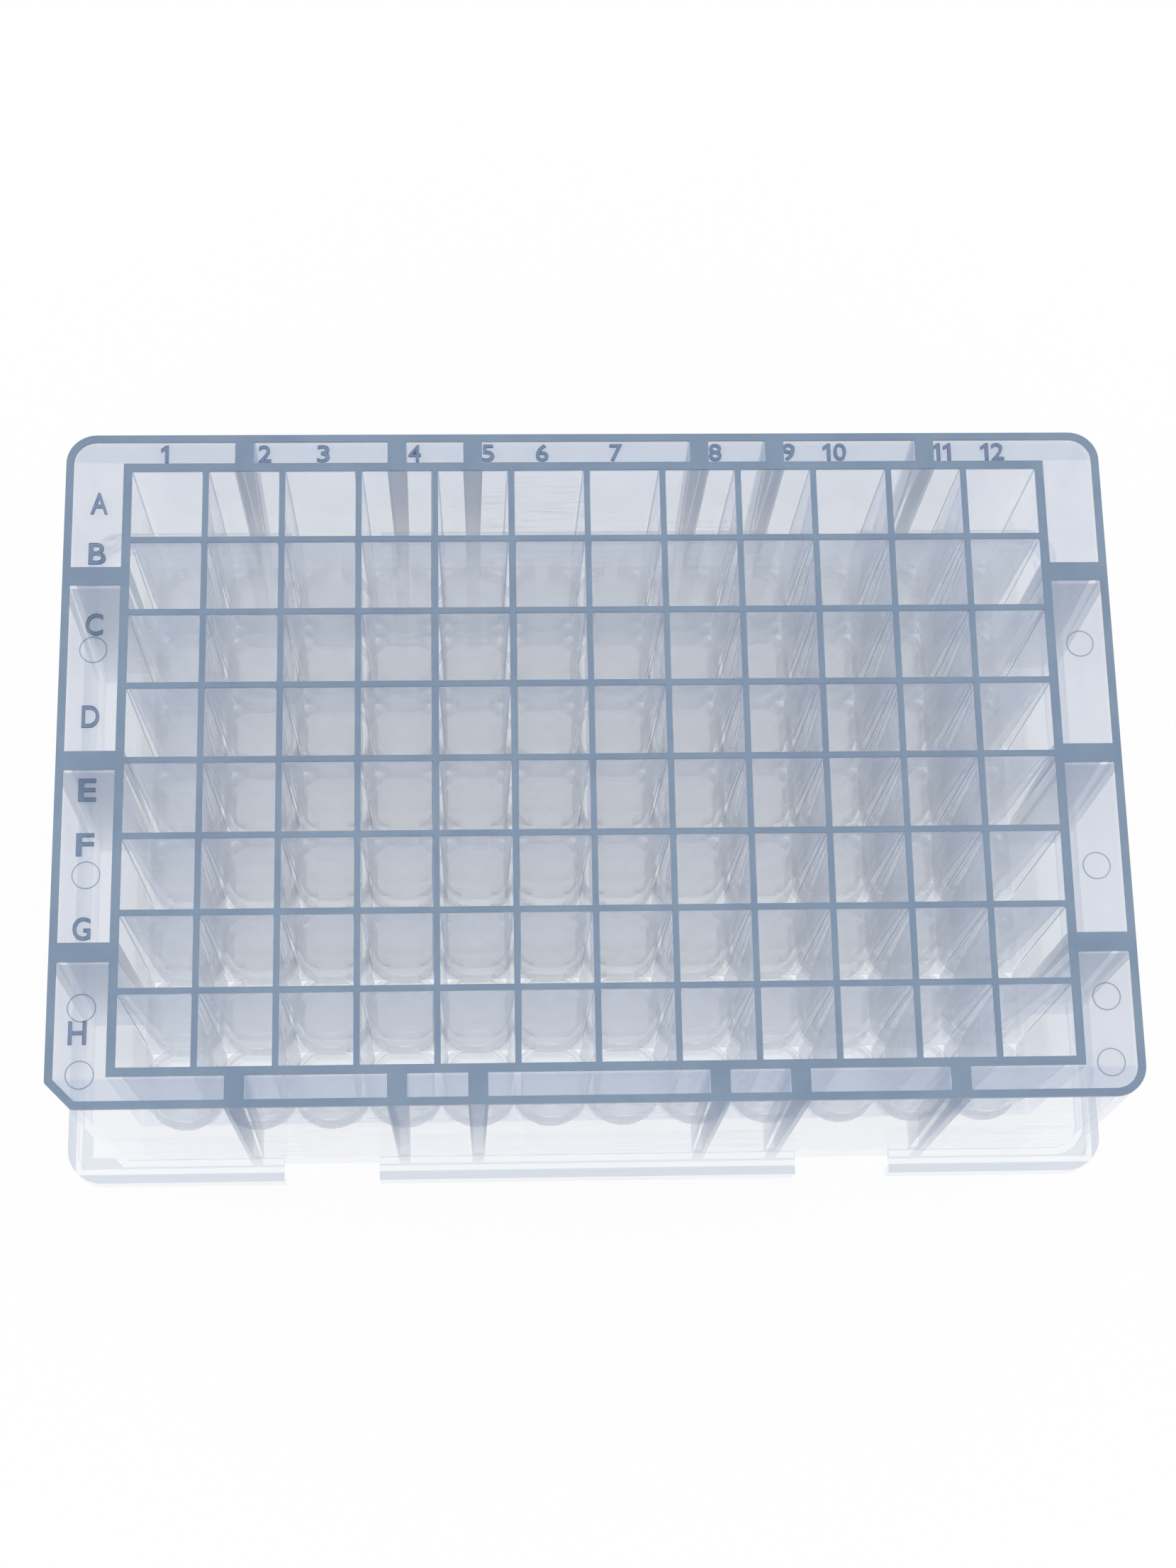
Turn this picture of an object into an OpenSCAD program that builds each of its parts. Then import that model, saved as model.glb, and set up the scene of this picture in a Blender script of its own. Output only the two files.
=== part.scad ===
// 96-well square deep-well plate, moulded in one piece from natural polypropylene.
// Millimetres, +Z up. The origin is the middle of the base. Row A lies towards +Y,
// column 1 towards -X, and the chamfered key corner is the one beside well H1.

/* [Wells] */
// Number of columns of wells, along X
cols = 12; // [12:1:14]
// Number of rows of wells, along Y
rows = 8; // [8:1:10]
// Distance between the centres of neighbouring wells
pitch = 9; // [8.9:0.05:10]
// Width of the square mouth of a well
well_mouth = 8.3; // [7.9:0.05:8.4]
// Draft of the well walls, in degrees a side
well_draft = 0.9; // [0.5:0.1:1]
// Height above the base of the corner ledges, where a shaft turns into a cup
cup_top_z = 8.7; // [8:0.1:10]
// Radius that rounds the four corners of a cup
cup_r = 4.05; // [3.9:0.05:4.1]
// Radius of the round bottom of a cup
cup_bottom_r = 5.4; // [5:0.1:6.5]
// Thickness of the plastic around a cup
cup_t = 0.8; // [0.6:0.05:0.85]
// Height of the lowest point of the cups above the base
cup_foot_z = 0.7; // [0.4:0.1:1.2]

/* [Well block] */
// Height of the whole plate
plate_h = 40.5; // [36:0.5:44]
// Thickness of the wall around the block of wells, at the top
block_t = 1; // [0.9:0.05:1.4]
// How far each outer face of the block leans in from top to bottom
block_lean = 0.15; // [0.1:0.05:0.25]
// Thickness of the floor under the corner ledges
block_floor_t = 1.2; // [0.8:0.1:1.6]

/* [Outer wall] */
// Clear gap between the block and the outer wall at the two short ends
end_gap = 5.85; // [4:0.05:8]
// Clear gap between the block and the outer wall along the two long sides
side_gap = 2.71; // [2:0.01:4]
// Thickness of the outer wall
wall_t = 0.9; // [0.7:0.05:1.3]
// How far the outer wall leans out between the rim and the ledge
wall_lean = 0.6; // [0.2:0.05:1]
// Outer radius of the rounded corners, at the rim
corner_r = 3.5; // [2.5:0.1:5]
// Length of each leg of the key chamfer, at the rim
key_leg = 3; // [2.5:0.1:4]

/* [Deck] */
// How far the deck lies below the rim
deck_drop = 0.4; // [0.2:0.05:1]
// Thickness of the deck
deck_t = 1; // [0.7:0.05:1.5]
// Diameter of the round ejector marks in the deck
mark_d = 3.2; // [2:0.1:3.8]
// Depth of the ejector marks
mark_depth = 0.08; // [0.04:0.01:0.15]

/* [Ribs] */
// Thickness of a rib at the top
rib_top_t = 2.2; // [1.8:0.1:3]
// Thickness of a rib at its foot
rib_foot_t = 1.25; // [0.8:0.05:1.6]

/* [Base skirt] */
// Width of the ledge between the outer wall and the edge of the base
ledge_w = 1.88; // [1.6:0.01:2.5]
// Height of the skirt, from the base to the top of the ledge
skirt_h = 3.4; // [2.8:0.1:4]
// Thickness of the skirt and of its ledge
skirt_t = 1; // [0.8:0.05:1.3]
// Radius of the corners of the skirt
skirt_r = 4.2; // [3:0.1:5]
// Width of a notch in the long sides
notch_w = 11.7; // [8:0.1:14]
// Height of a notch above the top of the ledge
notch_rise = 1; // [0.5:0.1:2]

/* [Hidden] */
$fn = 32;
// How far a cutting body runs past the face that it opens
over = 1;
// Columns whose middle carries a rib on both long sides, counted from 0
rib_cols = [1, 3, 4, 7, 8, 10];
// Rows that a rib of both short ends is level with; a half lies between two rows
rib_rows = [1, 3.5, 6];
// Columns that the notches are centred on
notch_cols = [2, 9];
// Rows that the ejector marks at both short ends are level with
mark_rows = [2, 5, 6.7, 7.54];

block = [cols, rows] * pitch + (2 * block_t - (pitch - well_mouth)) * [1, 1];
block_foot = block - 2 * block_lean * [1, 1];
rim_in = block + 2 * [end_gap, side_gap];
rim_out = rim_in + 2 * wall_t * [1, 1];
base = rim_out + 2 * (wall_lean + ledge_w) * [1, 1];
wall_slope = wall_lean / (plate_h - skirt_h);
ledge_z = skirt_h - skirt_t;
deck_z = plate_h - deck_drop;
block_z = cup_top_z - block_floor_t;
// Centre of the round bottoms of the cups, inside and outside
bowl_z = cup_foot_z + cup_t + cup_bottom_r;
// Legs of the chamfer inside the wall, which is as thick there as elsewhere
key_leg_in = key_leg - (2 - sqrt(2)) * wall_t;

function col_x(i) = (i - (cols - 1) / 2) * pitch;
function row_y(j) = ((rows - 1) / 2 - j) * pitch;
function well_w(z) = well_mouth - 2 * (plate_h - z) * tan(well_draft);

// A bar along Y that is w0 wide at height z0 and w1 wide at height z1
module tapered_bar(w0, z0, w1, z1, length) {
    rotate([90, 0, 0])
        linear_extrude(length, center = true)
            polygon([[-w0 / 2, z0], [w0 / 2, z0], [w1 / 2, z1], [-w1 / 2, z1]]);
}

// A block with four leaning sides, of size0 at height z0 and size1 at height z1
module tapered_block(size0, z0, size1, z1) {
    intersection() {
        tapered_bar(size0.x, z0, size1.x, z1, 2 * size1.y);
        rotate(90) tapered_bar(size0.y, z0, size1.y, z1, 2 * size1.x);
    }
}

module at_corners(size, r) {
    for (x = [-1, 1], y = [-1, 1])
        translate([x * (size.x / 2 - r), y * (size.y / 2 - r), 0]) children();
}

// Everything beyond the key chamfer, leaning as the outer wall does
module beyond_key(size, leg) {
    translate([leg - size.x / 2, -size.y / 2, plate_h])
        rotate(-45)
            rotate([atan(wall_slope), 0, 0])
                translate([0, -plate_h, 0])
                    cube(2 * plate_h * [1, 1, 2], center = true);
}

// A rounded block from z0 to z1 that widens downwards as the outer wall does.
// The size, the radius r and the chamfer's leg are those at the rim.
module wall_block(size, r, leg, z0, z1) {
    lean0 = (plate_h - z0) * wall_slope;
    lean1 = (plate_h - z1) * wall_slope;
    flat = size - 2 * r * [1, 1];
    difference() {
        union() {
            tapered_bar(size.x + 2 * lean0, z0, size.x + 2 * lean1, z1, flat.y);
            rotate(90) tapered_bar(size.y + 2 * lean0, z0, size.y + 2 * lean1, z1, flat.x);
            at_corners(size, r)
                translate([0, 0, z0]) cylinder(h = z1 - z0, r1 = r + lean0, r2 = r + lean1);
        }
        beyond_key(size, leg);
    }
}

module rounded_slab(size, r, h) {
    linear_extrude(h) {
        square([size.x, size.y - 2 * r], center = true);
        square([size.x - 2 * r, size.y], center = true);
        at_corners(size, r) circle(r);
    }
}

// The outer wall with its deck, and the skirt that steps out under it
module shell() {
    difference() {
        union() {
            wall_block(rim_out, corner_r, key_leg, ledge_z, plate_h);
            rounded_slab(base, skirt_r, skirt_h);
        }
        wall_block(rim_in, corner_r - wall_t, key_leg_in, -over, deck_z - deck_t);
        wall_block(rim_in, corner_r - wall_t, key_leg_in, deck_z, plate_h + over);
        translate([0, 0, -over])
            rounded_slab(base - 2 * skirt_t * [1, 1], skirt_r - skirt_t, ledge_z + over);
        ejector_marks();
    }
}

module ejector_marks() {
    for (side = [-1, 1], j = mark_rows)
        translate([side * (block.x + end_gap) / 2, row_y(j), deck_z - mark_depth])
            cylinder(h = over, d = mark_d);
}

module at_wells() {
    for (i = [0 : cols - 1], j = [0 : rows - 1])
        translate([col_x(i), row_y(j), 0]) children();
}

// A round-bottomed post from z1 down, which is r wide and domed to bottom_r
module cup(r, bottom_r, z1) {
    intersection() {
        cylinder(h = z1, r = r);
        translate([0, 0, bowl_z]) sphere(bottom_r);
    }
}

module well_block() {
    tapered_block(block_foot, block_z, block, plate_h);
    at_wells() cup(cup_r + cup_t, cup_bottom_r + cup_t, cup_top_z);
}

// The square shafts of all wells, as the crossings of slots along X and along Y
module shafts(z0, z1) {
    intersection() {
        for (i = [0 : cols - 1])
            translate([col_x(i), 0, 0]) tapered_bar(well_w(z0), z0, well_w(z1), z1, block.y);
        for (j = [0 : rows - 1])
            translate([0, row_y(j), 0]) rotate(90) tapered_bar(well_w(z0), z0, well_w(z1), z1, block.x);
    }
}

module well_hollows() {
    shafts(cup_top_z, plate_h + over);
    intersection() {
        shafts(0, cup_top_z + over);
        at_wells() cup(cup_r, cup_bottom_r, cup_top_z + over);
    }
}

// A rib along X between two distances from the middle of the plate
module rib(from, to) {
    translate([(from + to) / 2, 0, 0])
        rotate(90) tapered_bar(rib_foot_t, skirt_h, rib_top_t, plate_h, to - from);
}

// Each rib starts inside the wall of the block and ends half-way into the outer wall
module ribs() {
    start = (block - block_t * [1, 1]) / 2;
    intersection() {
        for (m = [0, 1]) {
            for (j = rib_rows)
                mirror([m, 0, 0]) translate([0, row_y(j), 0]) rib(start.x, base.x / 2);
            for (i = rib_cols)
                mirror([0, m, 0]) translate([col_x(i), 0, 0]) rotate(90) rib(start.y, base.y / 2);
        }
        wall_block(rim_in + wall_t * [1, 1], corner_r - wall_t / 2, key_leg, skirt_h, plate_h);
    }
}

// The notches pass through the skirt, its ledge and the foot of the outer wall
module notches() {
    cut = over + ledge_w + wall_t + side_gap / 2;
    for (m = [0, 1], i = notch_cols)
        mirror([0, m, 0])
            translate([col_x(i) - notch_w / 2, base.y / 2 + over - cut, -over])
                cube([notch_w, cut, skirt_h + notch_rise + over]);
}

module well_plate() {
    color([0.80, 0.84, 0.89])
        difference() {
            union() {
                shell();
                well_block();
                ribs();
            }
            well_hollows();
            notches();
        }
}

well_plate();
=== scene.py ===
"""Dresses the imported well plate: natural polypropylene, raised lettering, floor, light and camera."""
import math

import bmesh
import bpy
from mathutils import Matrix, Vector


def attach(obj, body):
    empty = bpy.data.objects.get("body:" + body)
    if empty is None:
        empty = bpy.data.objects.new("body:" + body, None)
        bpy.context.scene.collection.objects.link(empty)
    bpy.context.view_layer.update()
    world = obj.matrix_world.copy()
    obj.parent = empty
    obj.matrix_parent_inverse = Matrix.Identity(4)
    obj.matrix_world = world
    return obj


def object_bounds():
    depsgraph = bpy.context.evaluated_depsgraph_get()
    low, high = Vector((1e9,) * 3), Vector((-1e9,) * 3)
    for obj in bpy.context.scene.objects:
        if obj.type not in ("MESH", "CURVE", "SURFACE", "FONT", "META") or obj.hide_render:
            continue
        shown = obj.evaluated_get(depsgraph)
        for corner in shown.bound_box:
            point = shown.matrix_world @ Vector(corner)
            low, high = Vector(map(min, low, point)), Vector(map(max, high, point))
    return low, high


MM = 0.001

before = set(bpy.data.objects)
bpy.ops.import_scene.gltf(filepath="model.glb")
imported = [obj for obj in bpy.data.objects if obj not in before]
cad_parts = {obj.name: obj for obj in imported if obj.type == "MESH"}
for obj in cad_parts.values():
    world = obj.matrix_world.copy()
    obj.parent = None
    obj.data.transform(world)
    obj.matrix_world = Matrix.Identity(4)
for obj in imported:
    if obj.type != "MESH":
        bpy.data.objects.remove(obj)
cad_low, cad_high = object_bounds()


# ---------------------------------------------------------------- shader arithmetic

class Value:
    """A number that varies over a surface. Arithmetic on it adds Math nodes."""

    def __init__(self, tree, socket):
        self.tree, self.socket = tree, socket

    def math(self, operation, first, second=0.0):
        return self.tree.add("ShaderNodeMath", {"operation": operation}, {0: first, 1: second}).out()

    def __add__(self, other):
        return self.math("ADD", self, other)

    def __sub__(self, other):
        return self.math("SUBTRACT", self, other)

    def __rsub__(self, other):
        return self.math("SUBTRACT", other, self)

    def __mul__(self, other):
        return self.math("MULTIPLY", self, other)

    def __truediv__(self, other):
        return self.math("DIVIDE", self, other)

    __radd__ = __add__
    __rmul__ = __mul__

    def size(self):
        return self.math("ABSOLUTE", self)

    def or_more(self, other):
        return self.math("MAXIMUM", self, other)

    def or_less(self, other):
        return self.math("MINIMUM", self, other)

    def from_nearest_multiple(self, step):
        """How far the value lies from the nearest whole multiple of step."""
        return self.math("PINGPONG", self / step, 0.5) * step

    def rise(self, start, end):
        """0 up to start, 1 from end on, and smooth between them."""
        return self.tree.add(
            "ShaderNodeMapRange",
            {"interpolation_type": "SMOOTHSTEP"},
            {"Value": self, "From Min": start, "From Max": end},
        ).out("Result")


class Node:
    """One shader node. out() gives an output as a Value."""

    def __init__(self, tree, node):
        self.tree, self.node = tree, node

    def out(self, name=0):
        return Value(self.tree, self.node.outputs[name])


class Tree:
    """The node tree of a new material, or of a world."""

    def __init__(self, owner, end="ShaderNodeOutputMaterial"):
        self.owner = owner
        owner.use_nodes = True
        self.links, self.nodes = owner.node_tree.links, owner.node_tree.nodes
        self.nodes.clear()
        self.end = self.add(end)

    def add(self, kind, settings=None, sockets=None):
        """A node of that type, with its settings made first and then its sockets set or linked."""
        node = self.nodes.new(kind)
        for key, value in (settings or {}).items():
            setattr(node, key, value)
        for key, value in (sockets or {}).items():
            if isinstance(value, Value):
                self.links.new(value.socket, node.inputs[key])
            else:
                node.inputs[key].default_value = value
        return Node(self, node)

    def blend(self, factor, first, second):
        """A colour between two colours."""
        return self.add(
            "ShaderNodeMix", {"data_type": "RGBA"}, {"Factor": factor, 6: first, 7: second}
        ).out(2)

    def mix(self, factor, first, second):
        """A shader between two shaders."""
        return self.add("ShaderNodeMixShader", None, {0: factor, 1: first, 2: second}).out()

    def clear(self, colour):
        """A shader that lets light straight through, tinted."""
        return self.add("ShaderNodeBsdfTransparent", None, {"Color": colour}).out()

    def plastic(self, **sockets):
        """A Principled shader. An underscore in a socket's name stands for a space."""
        named = {key.replace("_", " "): value for key, value in sockets.items()}
        return self.add("ShaderNodeBsdfPrincipled", None, named).out()

    def bump(self, strength, distance, height):
        return self.add(
            "ShaderNodeBump", None, {"Strength": strength, "Distance": distance, "Height": height}
        ).out()

    def show(self, shader):
        self.links.new(shader.socket, self.end.node.inputs["Surface"])
        return self.owner


def shown_as(red, green, blue):
    """A colour from the 0 to 255 values it is seen at."""

    def linear(level):
        level /= 255
        return level / 12.92 if level <= 0.04045 else ((level + 0.055) / 1.055) ** 2.4

    return (linear(red), linear(green), linear(blue), 1.0)


# ---------------------------------------------------------------- sizes of the plate

RIM_Z = cad_high.z
DECK_Z = RIM_Z - 0.4 * MM
CUP_Z = 8.7 * MM
SKIRT_Z = 3.4 * MM
PITCH = 9 * MM
WELL_HALF = 4.15 * MM
WELL_SLOPE = math.tan(math.radians(0.9))
BLOCK_X, BLOCK_Y = 54.7 * MM, 36.7 * MM
INNER_X, INNER_Y = 53.0 * MM, 35.0 * MM
LONG_SIDE_RIBS = (13.5 * MM, 22.5 * MM, 40.5 * MM)
SHORT_SIDE_RIBS = (0.0, 22.5 * MM)
RIB_FOOT_HALF = 0.58 * MM
RIB_TAPER = 0.475 / 37.1


# ---------------------------------------------------------------- finish of the plastic

SLATE_DARK, SLATE_PALE = shown_as(112, 133, 158), shown_as(121, 141, 164)
# Painted light: the haze is paler low down and darker high up, as if lit from below; the haze's slate shade
# colour is painted shade.
HAZE_LIT_LOW, HAZE_SHADED_HIGH = shown_as(222, 235, 255), shown_as(206, 220, 250)
HAZE_SHADE, HAZE_DECK = shown_as(150, 168, 197), shown_as(178, 186, 201)
WAVE_DULL, WAVE_BRIGHT = (0.94, 0.955, 0.98, 1), (0.97, 0.98, 0.995, 1)
SLATE_FILTER = (0.52, 0.585, 0.685, 1)
CLEAR = (0.968, 0.975, 0.988, 1)

# The share of light that goes straight through a wall's clear part, outside the block and in it.
STRAIGHT_OUTSIDE, STRAIGHT_IN_BLOCK = 0.88, 0.6

# How hazy each part is, from 0 to 1. The second of a pair adds to the first.
WELL_HAZE, OUTER_WELL_HAZE = 0.14, 0.08
DECK_HAZE, LONG_DECK_HAZE = 0.39, 0.12
# The corner and low side haze carries painted shade.
RIB_HAZE, CORNER_HAZE, LOW_SIDE_HAZE = 0.56, 0.6, 0.3
WALL_HAZE, SCRATCH_HAZE = 0.03, 0.14

# How slate that haze is, from 0 to 1: painted shade in the corners and on the lower side walls, and darker
# on the long sides of the deck.
CORNER_PAINTED_SHADE, LOW_SIDE_PAINTED_SHADE, LONG_DECK_SHADE = 0.9, 0.45, 0.6

# How much of the deep, slate look the skirt and the tops of the walls have, from 0 to 1.
SKIRT_DEPTH = 0.5
TOP_DEPTH = 0.97


def spot(tree):
    """The point on the surface, as three Values, and as the socket that textures read."""
    place = tree.add("ShaderNodeTexCoord").out("Object")
    axes = tree.add("ShaderNodeSeparateXYZ", None, {0: place})
    return axes.out("X"), axes.out("Y"), axes.out("Z"), place


def noise(tree, place, scale, detail, stretch=(1, 1, 1)):
    """Cloudy noise from 0 to 1, at that many waves a metre."""
    moved = tree.add("ShaderNodeMapping", None, {"Vector": place, "Scale": stretch}).out()
    return tree.add(
        "ShaderNodeTexNoise", None, {"Vector": moved, "Scale": scale, "Detail": detail}
    ).out()


# ---------------------------------------------------------------- places on the plate

def in_block(x, y):
    """1 on the insides of the wells and 0 from the outer faces of their block outwards."""
    middle_x, middle_y = BLOCK_X - 0.5 * MM, BLOCK_Y - 0.5 * MM
    within_x = 1 - x.size().rise(middle_x, middle_x + 0.1 * MM)
    within_y = 1 - y.size().rise(middle_y, middle_y + 0.1 * MM)
    return within_x * within_y


def in_outer_wells(x, y):
    """Rises from 0 to 1 over the outer two wells on each side."""
    return x.size().rise(BLOCK_X - 2 * PITCH, BLOCK_X).or_more(
        y.size().rise(BLOCK_Y - 2 * PITCH, BLOCK_Y))


def beside(along, middles, z):
    """1 within a rib's thickness of any of these middles, on either side of 0, and 0 away from them."""
    near = [(along.size() - middle).size() for middle in middles]
    least = near[0]
    for other in near[1:]:
        least = least.or_less(other)
    beyond = least - (RIB_FOOT_HALF + z * RIB_TAPER)
    return 1 - beyond.rise(0, 0.1 * MM)


def on_ribs(x, y, z):
    """1 on the ribs and on the walls that carry them, fading towards the ribs' feet."""
    long_side = beside(x, LONG_SIDE_RIBS, z) * y.size().rise(INNER_Y, INNER_Y + 0.1 * MM)
    short_side = beside(y, SHORT_SIDE_RIBS, z) * x.size().rise(INNER_X, INNER_X + 0.1 * MM)
    fading = z.rise(-0.6 * RIM_Z, RIM_Z) * z.rise(SKIRT_Z, SKIRT_Z + 1 * MM)
    return long_side.or_more(short_side) * fading


def from_well_walls(x, y, z):
    """How far a point lies from its well's side walls, and from its well's far and near walls."""
    half_wall = PITCH / 2 - WELL_HALF + (RIM_Z - z) * WELL_SLOPE
    return [(axis.from_nearest_multiple(PITCH) - half_wall).size() for axis in (x, y)]


def painted_corner_shade(x, y, z):
    """1 in the upright corners of the wells, where a small fillet gathers shade, painted into the haze as
    slate.
    """
    to_side, to_end = from_well_walls(x, y, z)
    corner = 1 - to_side.or_more(to_end).rise(0.05 * MM, 0.22 * MM)
    return corner * in_block(x, y) * z.rise(CUP_Z, 2 * CUP_Z)


def painted_low_side_shade(x, y, z):
    """1 on the lower half of the wells' side walls, for painted shade, as they get less light than the ends.
    """
    to_side, to_end = from_well_walls(x, y, z)
    side = (1 - to_side.rise(0.03 * MM, 0.1 * MM)) * to_end.rise(0.1 * MM, 0.4 * MM)
    return side * in_block(x, y) * (1 - z.rise(24 * MM, 35 * MM))


def on_skirt(x, y, z):
    """1 on the outer strip of the ledge, with the skirt's wall under it, and less in the angle behind it."""
    edge = (x.size() - cad_high.x).or_more(y.size() - cad_high.y)
    lip = edge.rise(-1.1 * MM, -0.95 * MM) * z.rise(SKIRT_Z - 0.6 * MM, SKIRT_Z)
    level = 1 - (z - SKIRT_Z).size().rise(0.15 * MM, 0.5 * MM)
    angle = level * (1 - edge.rise(-1.8 * MM, -1.6 * MM)) * edge.rise(-3.2 * MM, -3.0 * MM)
    return lip.or_more(angle * 0.7)


def scuffs(tree, place):
    """The little haze of the outer walls, with faint level scratches in places."""
    lines = noise(tree, place, 900, 2, (0.08, 0.08, 1)).rise(0.56, 0.72)
    patches = noise(tree, place, 45, 1).rise(0.5, 0.65)
    return WALL_HAZE + SCRATCH_HAZE * lines * patches


# ---------------------------------------------------------------- polypropylene

def dense_plastic(tree, place):
    """Plastic looked at through its whole depth, as on the tops of walls: slate blue and nearly solid."""
    cloud = noise(tree, place, 160, 2)
    grain = noise(tree, place, 2600, 1)
    return tree.plastic(
        Base_Color=tree.blend(cloud.rise(0.3, 0.7), SLATE_DARK, SLATE_PALE),
        Roughness=0.34 + 0.16 * grain, Normal=tree.bump(0.12, 0.1 * MM, grain))


def thin_plastic(tree, place, block):
    """One thin wall without its haze: nearly clear, with the faint waves left by the mould."""
    waves = noise(tree, place, 90, 1, (1, 1, 0.45))
    glass = tree.plastic(
        Base_Color=tree.blend(waves.rise(0.35, 0.65), WAVE_DULL, WAVE_BRIGHT), Roughness=0.0,
        IOR=1.4, Transmission_Weight=1.0, Normal=tree.bump(0.08, 0.6 * MM, waves))
    straight = STRAIGHT_OUTSIDE - block * (STRAIGHT_OUTSIDE - STRAIGHT_IN_BLOCK)
    return tree.mix(straight, glass, tree.clear(CLEAR))


def milky_plastic(tree, z, deck, shade, place):
    """The haze that natural polypropylene keeps in a wall, with painted light: paler towards the base, as if
    lit from below, and slate in painted shade.
    """
    cloud = noise(tree, place, 260, 2, (0.6, 0.6, 1.8))
    # Painted light: the haze is paler low down and darker high up, broken up by cloudy noise.
    height = z.rise(RIM_Z / 2, RIM_Z) + 1.2 * (cloud - 0.5)
    tone = tree.blend(deck, tree.blend(height.rise(0, 1), HAZE_LIT_LOW, HAZE_SHADED_HIGH), HAZE_DECK)
    upward = tree.bump(1.0, 1.0, 1 - z)
    return tree.plastic(
        Base_Color=tree.blend(shade, tone, HAZE_SHADE), Roughness=0.4, Specular_IOR_Level=0.3,
        Normal=upward)


def hazy_plastic(tree, x, y, z, place):
    """The plastic's walls: thin and clear, with haze where each part has it, painted shade in the wells'
    corners and on their lower side walls, and darker ribs and long sides of the deck.
    """
    block, ribs = in_block(x, y), on_ribs(x, y, z)
    corners, low_side_shade = painted_corner_shade(x, y, z), painted_low_side_shade(x, y, z)
    deck_up = z.rise(DECK_Z - 0.3 * MM, DECK_Z - 0.1 * MM)
    deck = deck_up * (1 - block)
    long_sides = y.size().rise(BLOCK_Y, BLOCK_Y + 0.3 * MM)
    off_ledges = (z - CUP_Z).size().rise(0.03 * MM, 0.08 * MM)

    haze = block * (WELL_HAZE + in_outer_wells(x, y) * OUTER_WELL_HAZE) * off_ledges
    haze = haze.or_more(deck_up * (DECK_HAZE + long_sides * LONG_DECK_HAZE)).or_more(scuffs(tree, place))
    haze = haze.or_more(ribs * RIB_HAZE).or_more(corners * CORNER_HAZE).or_more(low_side_shade * LOW_SIDE_HAZE)
    # Painted shade in the corners and on the lower side walls; the ribs and the deck's long sides are darker
    # too.
    shade = ribs.or_more(corners * CORNER_PAINTED_SHADE).or_more(low_side_shade * LOW_SIDE_PAINTED_SHADE)
    shade = shade.or_more(deck * long_sides * LONG_DECK_SHADE)

    walls = tree.mix(
        on_skirt(x, y, z) * SKIRT_DEPTH, thin_plastic(tree, place, block), tree.clear(SLATE_FILTER))
    return tree.mix(haze, walls, milky_plastic(tree, z, deck, shade, place))


def polypropylene():
    """Natural polypropylene: thin milky walls let the floor show through, and depth turns them slate blue.

    Light passes it freely, so that the haze is lit by the floor and the sky through other walls.
    """
    tree = Tree(bpy.data.materials.new("natural polypropylene"))
    x, y, z, place = spot(tree)
    tops = z.rise(RIM_Z - 0.4 * MM, RIM_Z - 0.05 * MM) * TOP_DEPTH
    seen = tree.mix(tops, hazy_plastic(tree, x, y, z, place), dense_plastic(tree, place))
    path = tree.add("ShaderNodeLightPath")
    lit = path.out("Is Shadow Ray").or_more(path.out("Is Diffuse Ray"))
    return tree.show(tree.mix(lit, seen, tree.clear((1, 1, 1, 1))))


def raised_plastic(name, filter_colour, solid):
    """Plastic raised from the deck: a filter over what is under it, with a little solid slate."""
    tree = Tree(bpy.data.materials.new(name))
    place = spot(tree)[3]
    return tree.show(tree.mix(solid, tree.clear(filter_colour), dense_plastic(tree, place)))


# ---------------------------------------------------------------- raised lettering and rings

# A numeral one has this share of the others' width, and letters sink this far into the deck (mm).
NARROW_ONE = 0.6
SUNK = 0.02

# Middles of the letters up the plate, of the numbers along it, and the places and section of the rings (mm).
ROW_LETTERS = {
    "A": 31.67, "B": 25.36, "C": 16.55, "D": 5.31, "E": -3.5, "F": -9.96, "G": -19.77, "H": -31.66}
COLUMN_NUMBERS = (-49.9, -38.1, -31.2, -20.4, -11.7, -5.25, 3.55, 15.4, 24.2, 29.7, 42.6, 48.7)
RING_X, RING_YS = 57.58, (13.5, -13.5, -28.8, -36.36)
RING_PROFILE = ((1.5, -0.01), (1.5, 0.05), (1.62, 0.05), (1.62, -0.01))
RING_TURNS = 48


def add_piece(name, form, *materials):
    """A new piece of the plate from a bmesh, which it uses up."""
    made = bpy.data.meshes.new(name)
    form.to_mesh(made)
    form.free()
    for material in materials:
        made.materials.append(material)
    piece = bpy.data.objects.new(name, made)
    bpy.context.scene.collection.objects.link(piece)
    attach(piece, "root")


def letter_mesh(letter):
    """A solid letter about a metre high. The numeral one gets its own outline, with a flag."""
    if letter == "1":
        curve = bpy.data.curves.new("letter", "CURVE")
        curve.dimensions = "2D"
        curve.fill_mode = "BOTH"
        outline = ((0.42, 0), (0.78, 0), (0.78, 1), (0.52, 1), (0, 0.8), (0, 0.62), (0.42, 0.76))
        spline = curve.splines.new("POLY")
        spline.points.add(len(outline) - 1)
        for point, (x, y) in zip(spline.points, outline):
            point.co = (x, y, 0, 1)
        spline.use_cyclic_u = True
    else:
        curve = bpy.data.curves.new("letter", "FONT")
        curve.body = letter
        curve.offset = 0.012
        curve.resolution_u = 6
    curve.extrude = 0.5
    holder = bpy.data.objects.new("letter", curve)
    bpy.context.scene.collection.objects.link(holder)
    bpy.context.view_layer.update()
    mesh = bpy.data.meshes.new_from_object(holder.evaluated_get(bpy.context.evaluated_depsgraph_get()))
    bpy.data.objects.remove(holder)
    bpy.data.curves.remove(curve)
    return mesh


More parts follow.
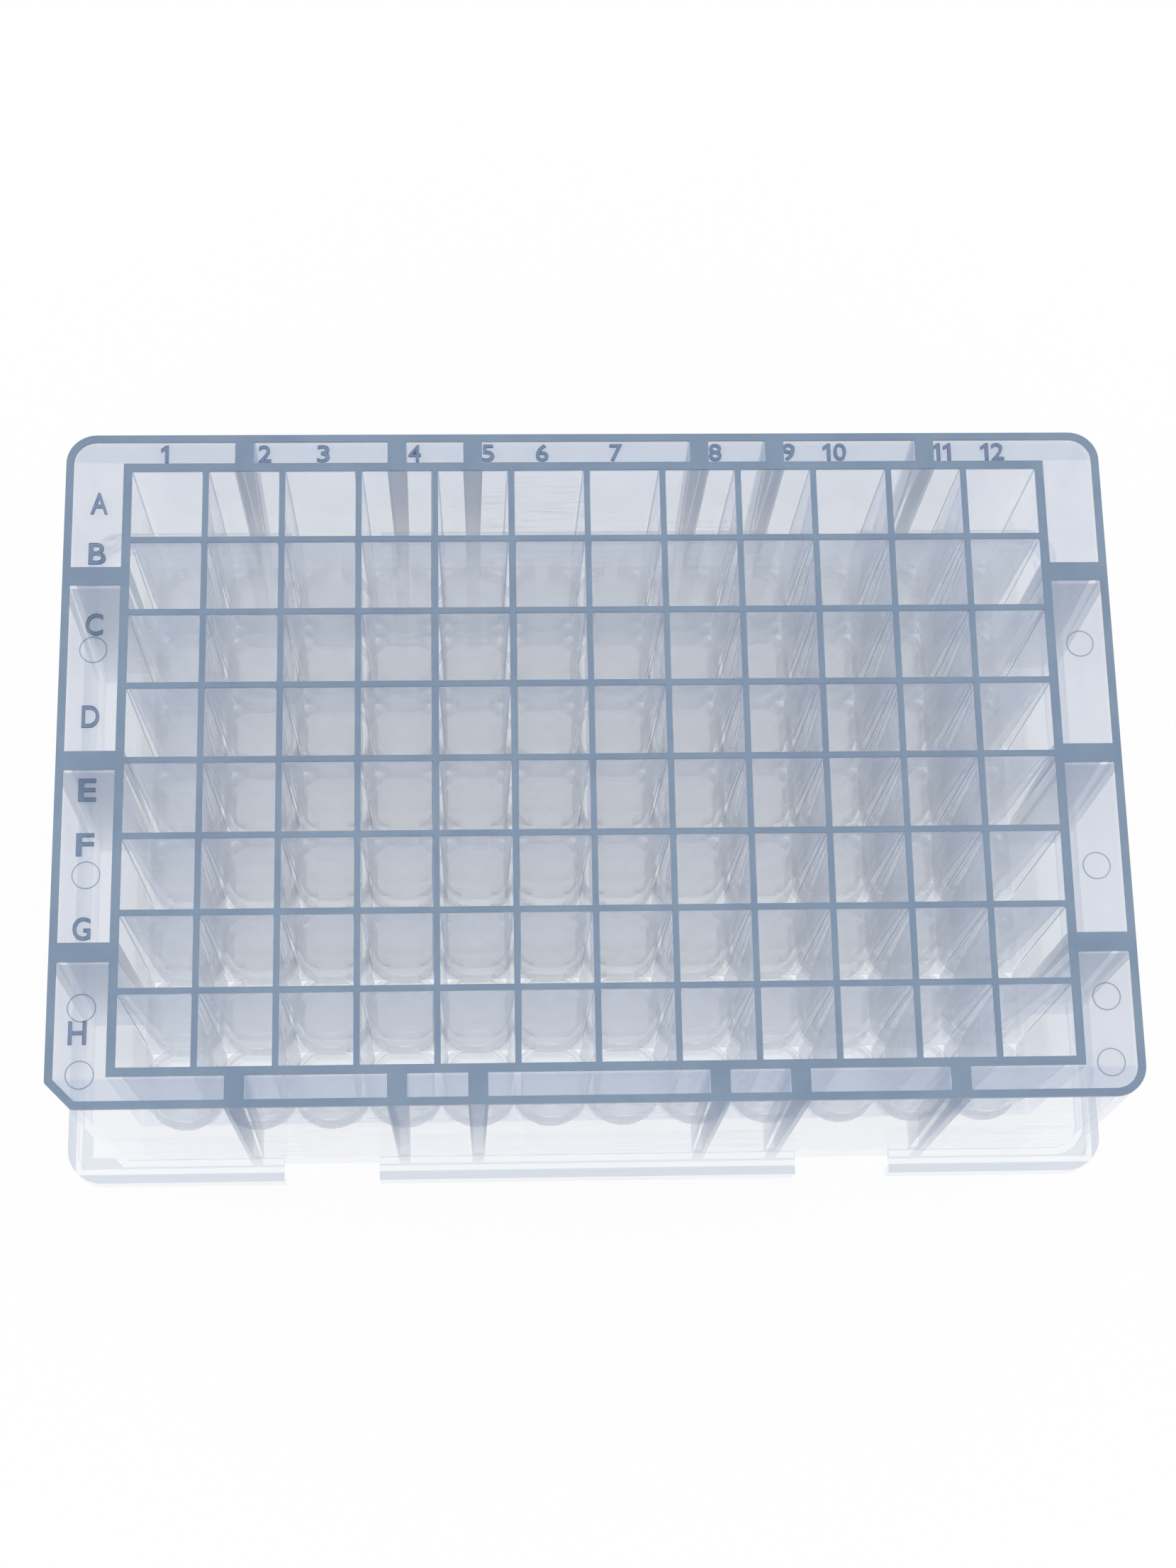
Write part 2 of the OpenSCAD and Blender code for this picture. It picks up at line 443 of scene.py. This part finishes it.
def raised_words(name, words, letter_w, letter_h, depth=0.3):
    """One piece of raised words, sizes in millimetres. words holds (word, x, y), each word's middle."""
    form = bmesh.new()
    gap = 0.25 * letter_w
    for word, x, y in words:
        widths = [letter_w * (NARROW_ONE if letter == "1" else 1.0) for letter in word]
        start = x - (sum(widths) + gap * (len(word) - 1)) / 2
        for letter, width in zip(word, widths):
            mesh = letter_mesh(letter)
            low = Vector([min(v.co[i] for v in mesh.vertices) for i in range(3)])
            high = Vector([max(v.co[i] for v in mesh.vertices) for i in range(3)])
            size, middle = high - low, (high + low) / 2
            place = Matrix.Translation(
                ((start + width / 2) * MM, y * MM, DECK_Z + depth * MM / 2 - SUNK * MM))
            scale = Matrix.Diagonal(
                (width / size.x * MM, letter_h / size.y * MM, depth / size.z * MM, 1))
            mesh.transform(place @ scale @ Matrix.Translation(-middle))
            form.from_mesh(mesh)
            bpy.data.meshes.remove(mesh)
            start += width + gap
    bmesh.ops.remove_doubles(form, verts=form.verts, dist=0.002 * MM)
    bmesh.ops.recalc_face_normals(form, faces=form.faces)
    for face in form.faces:
        face.material_index = 1 if face.normal.z > 0.7 else 0
    add_piece(
        name, form,
        raised_plastic("letter sides", (0.45, 0.53, 0.65, 1), 0.3),
        raised_plastic("letter faces", (0.78, 0.835, 0.91, 1), 0.12))


def lettering():
    """Row letters on the left of the deck and column numbers on its far side."""
    rows = [(row, -57.68 + 0.0085 * y, y) for row, y in ROW_LETTERS.items()]
    columns = [(str(i + 1), x, 37.92) for i, x in enumerate(COLUMN_NUMBERS)]
    raised_words("row_letters", rows, 2.0, 2.65)
    raised_words("column_numbers", columns, 1.5, 2.15)


def ejector_rings():
    """The thin raised edge of each round ejector mark on the deck."""
    form = bmesh.new()
    for side in (-1, 1):
        for y in RING_YS:
            loops = []
            for i in range(RING_TURNS):
                turn = 2 * math.pi * i / RING_TURNS
                loops.append([form.verts.new((
                    (side * RING_X + radius * math.cos(turn)) * MM,
                    (y + radius * math.sin(turn)) * MM,
                    DECK_Z + rise * MM)) for radius, rise in RING_PROFILE])
            for i in range(RING_TURNS):
                here, there = loops[i], loops[(i + 1) % RING_TURNS]
                for k in range(4):
                    form.faces.new((here[k], here[(k + 1) % 4], there[(k + 1) % 4], there[k]))
    bmesh.ops.recalc_face_normals(form, faces=form.faces)
    add_piece("ejector_rings", form, raised_plastic("ring edges", (0.76, 0.81, 0.87, 1), 0.08))


# ---------------------------------------------------------------- stage, light and camera

WHITE = (1, 1, 1, 1)
FLOOR_HALF = 4.0
GLOW_TO_CAMERA = 0.9
WINDOW_WAY = (-0.55, -0.2, 0.8)
EYE = (-13.99, -95.29, 345.42)
EYE_AHEAD, EYE_RIGHT = (0.04195, 0.28846, -0.95657), (0.99908, -0.0201, 0.03775)


def white_floor():
    """White paint that can keep a shadow, and glows white to every ray that looks at it."""
    tree = Tree(bpy.data.materials.new("white floor"))
    path = tree.add("ShaderNodeLightPath")
    paint = tree.add("ShaderNodeBsdfDiffuse", None, {"Color": (0.96, 0.96, 0.96, 1)}).out()
    glow = tree.add("ShaderNodeEmission", None, {"Color": WHITE, "Strength": 1.0}).out()
    seen = path.out("Is Transmission Ray").or_more(path.out("Is Glossy Ray"))
    seen = seen.or_more(path.out("Is Diffuse Ray"))
    seen = seen.or_more(path.out("Is Camera Ray") * GLOW_TO_CAMERA)
    return tree.show(tree.mix(seen, paint, glow))


def floor():
    half = FLOOR_HALF
    corners = [(-half, -half, 0), (half, -half, 0), (half, half, 0), (-half, half, 0)]
    mesh = bpy.data.meshes.new("floor")
    mesh.from_pydata(corners, [], [(0, 1, 2, 3)])
    mesh.materials.append(white_floor())
    plane = bpy.data.objects.new("floor", mesh)
    bpy.context.scene.collection.objects.link(plane)
    plane.location.z = -0.2 * MM


def studio_world():
    """White light that is stronger from above and from one soft window. The camera sees plain white."""
    tree = Tree(bpy.data.worlds.new("studio"), "ShaderNodeOutputWorld")
    ahead = tree.add("ShaderNodeTexCoord").out("Generated")
    facing = tree.add(
        "ShaderNodeVectorMath", {"operation": "DOT_PRODUCT"},
        {0: ahead, 1: Vector(WINDOW_WAY).normalized()}).out("Value")
    window = tree.add("ShaderNodeMapRange", None, {
        "Value": facing, "From Min": 0.82, "From Max": 0.97, "To Max": 0.8}).out()
    height = tree.add("ShaderNodeSeparateXYZ", None, {0: ahead}).out("Z")
    sky = tree.add("ShaderNodeMapRange", None, {
        "Value": height, "From Min": -0.2, "To Min": 0.8, "To Max": 1.0}).out()
    light = tree.add("ShaderNodeBackground", None, {"Color": WHITE, "Strength": window + sky}).out()
    white = tree.add("ShaderNodeBackground", None, {"Color": WHITE}).out()
    to_camera = tree.add("ShaderNodeLightPath").out("Is Camera Ray")
    bpy.context.scene.world = tree.show(tree.mix(to_camera, light, white))


def camera():
    """Looks down on the plate from in front of it."""
    data = bpy.data.cameras.new("camera")
    data.sensor_width = 36.0
    data.lens = 63.79
    eye = bpy.data.objects.new("camera", data)
    bpy.context.scene.collection.objects.link(eye)
    ahead = Vector(EYE_AHEAD).normalized()
    right = Vector(EYE_RIGHT)
    right = (right - right.dot(ahead) * ahead).normalized()
    turn = Matrix((right, right.cross(ahead), -ahead)).transposed()
    eye.matrix_world = Matrix.Translation(Vector(EYE) * MM) @ turn.to_4x4()
    bpy.context.scene.camera = eye


plastic = polypropylene()
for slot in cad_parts["well_plate"].material_slots:
    slot.material = plastic
lettering()
ejector_rings()
floor()
studio_world()
camera()
bpy.context.scene.view_settings.view_transform = "Standard"
